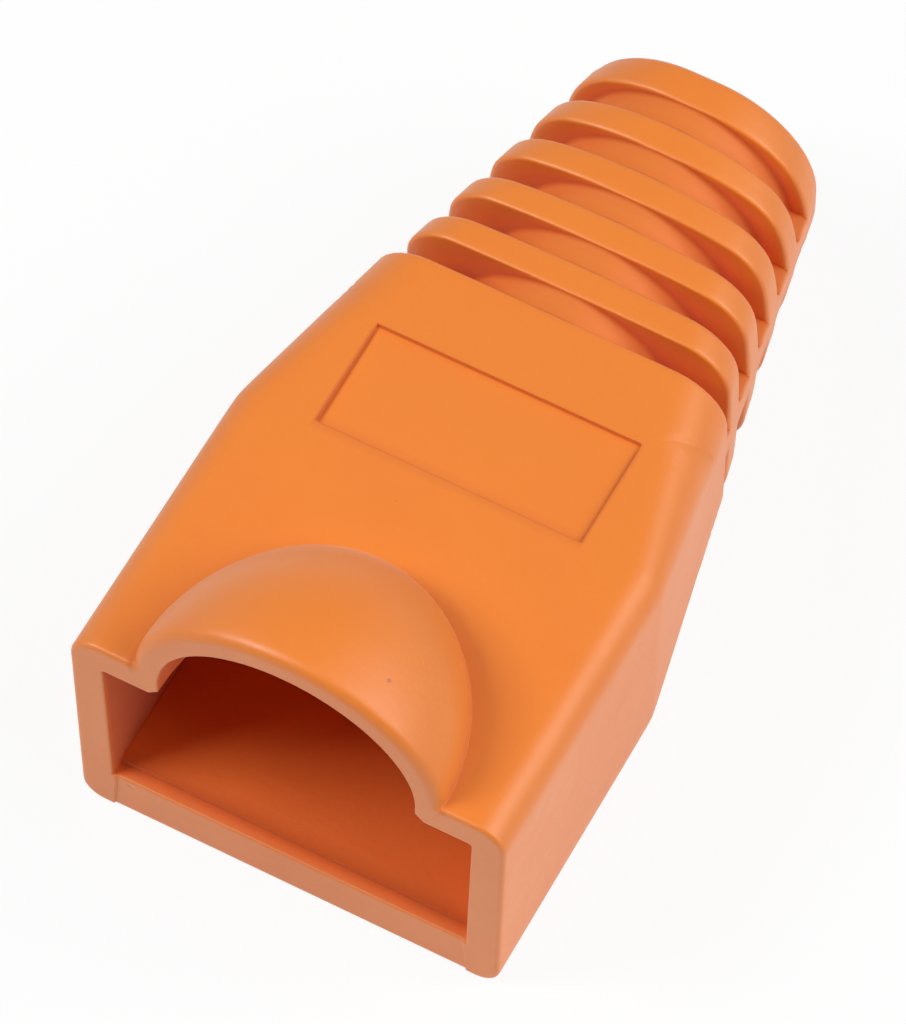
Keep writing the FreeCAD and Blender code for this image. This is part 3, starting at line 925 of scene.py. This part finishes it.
def build_mesh(scene):
    """The boot's skin as one closed mesh, with its slots laid in by the slot tree."""
    sizes = in_millimetres(scene.boot_sizes)
    cavity = in_millimetres(scene.boot_cavity)
    tail = in_millimetres(scene.boot_tail)
    front_skin = tail_skin(tail.front_half, tail.front_rise, tail.front_corner, tail.web)
    rear_skin = tail_skin(tail.rear_half, tail.rear_rise, tail.rear_corner, tail.web)
    outer = outer_block(sizes, tail, front_skin)
    inner = inner_block(cavity, sizes.inner_edge)
    front = front_rows(outer[0], inner[0], sizes, cavity)
    skin_angles = np.arctan2(rear_skin[:, 1], rear_skin[:, 0])
    bore = bore_rows(cavity, tail, inner[-1], skin_angles)
    end = end_rows(tail, rear_skin, bore[-1])
    ribs, last_rib = tail_rows(tail, sizes.neck, outer[-1], front_skin, rear_skin)
    plain = outer[::-1] + front + inner + bore + end + last_rib[::-1]
    rows = [whole_row(row) for row in plain]
    mesh = closed_grid(rows + [rows[-1]] * len(ribs))
    store_slots(mesh, ribs[::-1], len(plain), tail.axis)
    # Painted shade: the share of the deeper hollow colour in the cavity, the bore and the slots
    painted_hollow_shade = [np.zeros(2 * HALF)] * (len(outer) + len(front))
    painted_hollow_shade += [whole_values(np.clip(row[:, 1] / 0.2, 0.0, 1.0)) for row in inner + bore]
    painted_hollow_shade += [np.zeros(2 * HALF)] * (len(end) + len(last_rib))
    painted_hollow_shade += [whole_values((1 - rib.even) * rib.finish[1]) for rib in ribs[::-1]]
    store(mesh, "hollow", "FLOAT", painted_hollow_shade)
    base = bpy.data.objects.new("boot_base", mesh)
    scene.collection.objects.link(base)
    group = slot_tree()
    modifier = base.modifiers.new("Slots", "NODES")
    modifier.node_group = group
    values = dict(zip(SLOT_LENGTHS, (LOW.y + sizes.neck * MM, HIGH.y, tail.pitch * MM,
                                     tail.width * MM, tail.edge * MM, tail.root * MM)))
    values["Material"] = moulded_pvc(scene.boot_finish)
    for item in group.interface.items_tree:
        if item.in_out == "INPUT" and item.name in values:
            modifier[item.identifier] = values[item.name]
    shading = base.modifiers.new("Flat faces stay flat", "WEIGHTED_NORMAL")
    shading.mode = "FACE_AREA"
    shading.keep_sharp = True
    shading.weight = 60
    graph = bpy.context.evaluated_depsgraph_get()
    finished = bpy.data.meshes.new_from_object(base.evaluated_get(graph))
    bpy.data.objects.remove(base)
    bpy.data.meshes.remove(mesh)
    for name in STORED:
        if name in finished.attributes:
            finished.attributes.remove(finished.attributes[name])
    add_painted_shade(finished, sizes, cavity)
    return finished


# ---- finishes


def new_material(name):
    """An empty material and its tree."""
    material = bpy.data.materials.new(name)
    material.use_nodes = True
    material.node_tree.nodes.clear()
    return material, Tree(material.node_tree)


def moulded_pvc(finish):
    """Soft PVC as moulded: a fine satin skin with faint mottling and a few specks and pits."""
    material, tree = new_material("moulded_pvc")
    place = tree.wire("ShaderNodeTexCoord", output=3)

    def noise(scale, detail=2.0, roughness=0.5):
        return tree.wire("ShaderNodeTexNoise", None,
                         {"Vector": place, "Scale": scale, "Detail": detail,
                          "Roughness": roughness})

    def spots(scale, size, soft):
        distance = tree.wire("ShaderNodeTexVoronoi", {"feature": "F1"},
                             {"Vector": place, "Scale": scale, "Randomness": 1.0})
        return tree.wire("ShaderNodeMapRange", {"interpolation_type": "SMOOTHSTEP"},
                         {"Value": distance, "From Min": size, "From Max": size + soft,
                          "To Min": 1.0, "To Max": 0.0})

    def stored(name):
        return tree.wire("ShaderNodeAttribute", {"attribute_name": name}, None, 2)

    def bump(height, strength, distance, **below):
        return tree.wire("ShaderNodeBump", None, {"Strength": strength, "Distance": distance,
                                                  "Height": height, **below})

    flow = noise(260.0, 3.0, 0.55)
    grain = noise(5200.0, 2.0, 0.6)
    ripple = noise(900.0, 2.0, 0.5)
    specks = spots(310.0, 0.012, 0.016)
    pits = spots(210.0, 0.014, 0.02)
    mottled = tree.blend("RGBA", (flow - 0.35) * 2.2 * finish.mottle, (*finish.body, 1.0),
                         (*finish.deep, 1.0))
    # Painted shade: deeper colour in the cavity, the bore and the slots, and darker creases
    hollow, crease = stored("hollow"), stored("crease")
    inside = tree.blend("RGBA", hollow, mottled, (*finish.hollow, 1.0))
    shaded = tree.blend("RGBA", crease * 0.6, inside, (*finish.crease, 1.0))
    tinted = tree.blend("RGBA", specks * 0.75, shaded, (*finish.speck, 1.0))
    dull = hollow * 0.15 + crease * 0.4
    roughness = finish.roughness + dull + (flow - 0.5) * 0.12 + (grain - 0.5) * 0.10
    fine = bump(grain, 0.35, 0.00002)
    wavy = bump(ripple, 0.35, 0.00006, Normal=fine)
    dented = bump(1 - pits, 0.6, 0.00004, Normal=wavy)
    shader = tree.wire("ShaderNodeBsdfPrincipled", None,
                       {"Base Color": tinted, "Roughness": roughness, "Normal": dented,
                        "IOR": 1.5, "Specular IOR Level": 0.8, "Sheen Weight": 0.18,
                        "Sheen Roughness": 0.4})
    tree.node("ShaderNodeOutputMaterial", None, {"Surface": shader})
    return material


def seen_directly(tree):
    """1 to the eye, in reflections and through clear things, and 0 as a light."""
    path = tree.node("ShaderNodeLightPath")
    camera, glossy, through = (Wire(tree, path.outputs[name]) for name in
                               ("Is Camera Ray", "Is Glossy Ray", "Is Transmission Ray"))
    return tree.maths("MINIMUM", camera + glossy + through, 1.0)


def pale_floor(finish):
    """A plain white sweep that meets the background and keeps a faint shadow."""
    material, tree = new_material("pale_floor")
    matte = tree.wire("ShaderNodeBsdfDiffuse", None, {"Color": (*finish.backdrop, 1.0)})
    bright = tree.wire("ShaderNodeEmission", None, {"Color": (1.0, 1.0, 1.0, 1.0),
                                                    "Strength": 1.0})
    shader = tree.wire("ShaderNodeMixShader", None,
                       {0: seen_directly(tree) * 0.9, 1: matte, 2: bright})
    tree.node("ShaderNodeOutputMaterial", None, {"Surface": shader})
    return material


# ---- the stage


# Each lamp's name, the direction that it stands in, its size and its power
LAMPS = (
    ("high_right_lamp", (0.70, 0.10, 0.80), 0.24, 0.39),
    ("low_right_lamp", (0.85, 0.12, 0.55), 0.24, 0.23),
    ("front_lamp", (-0.52, -0.38, 0.76), 0.11, 0.48),
    ("left_lamp", (-0.75, 0.05, 0.66), 0.15, 0.08),
    ("rear_lamp", (0.56, 0.52, 0.62), 0.24, 0.08),
    ("glint_lamp", (0.52, 0.57, 0.63), 0.02, 0.05),
)
LAMP_DISTANCE = 0.30


def soft_lamp(scene, name, direction, size, watts):
    """A square lamp that shines at the boot from a direction."""
    lamp = bpy.data.lights.new(name, "AREA")
    lamp.shape = "SQUARE"
    lamp.size = size
    lamp.energy = watts
    aim = Vector(direction).normalized()
    item = bpy.data.objects.new(name, lamp)
    item.rotation_euler = aim.to_track_quat("Z", "Y").to_euler()
    item.location = aim * LAMP_DISTANCE + Vector((0.0, 0.0, 0.004))
    scene.collection.objects.link(item)


def white_world(scene, light):
    """An even pale surround: white to the eye and in reflections, dimmer as a light."""
    world = bpy.data.worlds.new("surround")
    world.use_nodes = True
    world.node_tree.nodes.clear()
    tree = Tree(world.node_tree)
    strength = light + (1 - light) * seen_directly(tree)
    shader = tree.wire("ShaderNodeBackground", None,
                       {"Color": (1.0, 1.0, 1.0, 1.0), "Strength": strength})
    tree.node("ShaderNodeOutputWorld", None, {"Surface": shader})
    scene.world = world


def place_camera(scene):
    """A long lens that looks down on the mouth from its right."""
    turn, tilt, roll = (math.radians(angle) for angle in (27.703, 59.092, 0.517))
    distance = 247.921 * MM
    target = Vector((-0.674 * MM, LOW.y + 11.293 * MM, 4.0 * MM))
    view = Vector((-math.sin(turn) * math.cos(tilt), math.cos(turn) * math.cos(tilt),
                   -math.sin(tilt)))
    level = Vector((math.cos(turn), math.sin(turn), 0.0))
    upright = level.cross(view)
    right = level * math.cos(roll) + upright * math.sin(roll)
    up = upright * math.cos(roll) - level * math.sin(roll)
    data = bpy.data.cameras.new("camera")
    data.sensor_fit = "HORIZONTAL"
    data.sensor_width = 36.0
    data.lens = 338.22592
    data.clip_start = 0.01
    data.clip_end = 10.0
    camera = bpy.data.objects.new("camera", data)
    turned = Matrix((right, up, -view)).transposed().to_4x4()
    camera.matrix_world = Matrix.Translation(target - view * distance) @ turned
    scene.collection.objects.link(camera)
    scene.camera = camera


# ---- operators


class BOOT_OT_skin(bpy.types.Operator):
    """Build the boot: box, dome, plug cavity, cable bore and slotted tail in one skin"""
    bl_idname = "boot.build_skin"
    bl_label = "Boot"

    def execute(self, context):
        scene = context.scene
        piece = bpy.data.objects.new("boot_skin", build_mesh(scene))
        scene.collection.objects.link(piece)
        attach(piece, "root")
        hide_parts("boot")
        return {"FINISHED"}


class BOOT_OT_stage(bpy.types.Operator):
    """Build the pale floor, the soft lamps, the white surround and the camera"""
    bl_idname = "boot.build_stage"
    bl_label = "Stage"

    def execute(self, context):
        scene = context.scene
        reach = 1.5
        # The floor lies a hair under the base, so that the two faces don't coincide.
        z = -0.00002
        mesh = bpy.data.meshes.new("floor")
        mesh.from_pydata([(-reach, -reach, z), (reach, -reach, z), (reach, reach, z),
                          (-reach, reach, z)], [], [(0, 1, 2, 3)])
        mesh.materials.append(pale_floor(scene.boot_finish))
        floor = bpy.data.objects.new("floor", mesh)
        scene.collection.objects.link(floor)
        for lamp in LAMPS:
            soft_lamp(scene, *lamp)
        white_world(scene, 0.02)
        place_camera(scene)
        scene.view_settings.view_transform = "Standard"
        return {"FINISHED"}


class BOOT_PT_panel(bpy.types.Panel):
    """Lists the boot's pieces and their sizes"""
    bl_idname = "BOOT_PT_panel"
    bl_label = "Strain relief boot"
    bl_space_type = "VIEW_3D"
    bl_region_type = "UI"
    bl_category = "Boot"

    def draw(self, context):
        scene = context.scene
        for operator in (BOOT_OT_skin, BOOT_OT_stage):
            self.layout.operator(operator.bl_idname)
        for name, label, _ in GROUPS:
            group = getattr(scene, name)
            box = self.layout.box()
            box.label(text=label)
            for key in group.__annotations__:
                box.prop(group, key, text=key.replace("_", " ").capitalize())


GROUPS = (
    ("boot_sizes", "Box and dome", BootSizes),
    ("boot_cavity", "Cavity and bore", CavitySizes),
    ("boot_tail", "Tail and slots", TailSizes),
    ("boot_finish", "Finish", FinishSettings),
)
CLASSES = (BootSizes, CavitySizes, TailSizes, FinishSettings, BOOT_OT_skin, BOOT_OT_stage,
           BOOT_PT_panel)


def register():
    for item in CLASSES:
        bpy.utils.register_class(item)
    for name, _, kind in GROUPS:
        setattr(bpy.types.Scene, name, PointerProperty(type=kind))


def unregister():
    for name, _, _ in GROUPS:
        delattr(bpy.types.Scene, name)
    for item in reversed(CLASSES):
        bpy.utils.unregister_class(item)


def main():
    register()
    bpy.ops.boot.build_skin()
    bpy.ops.boot.build_stage()


if __name__ == "__main__":
    main()
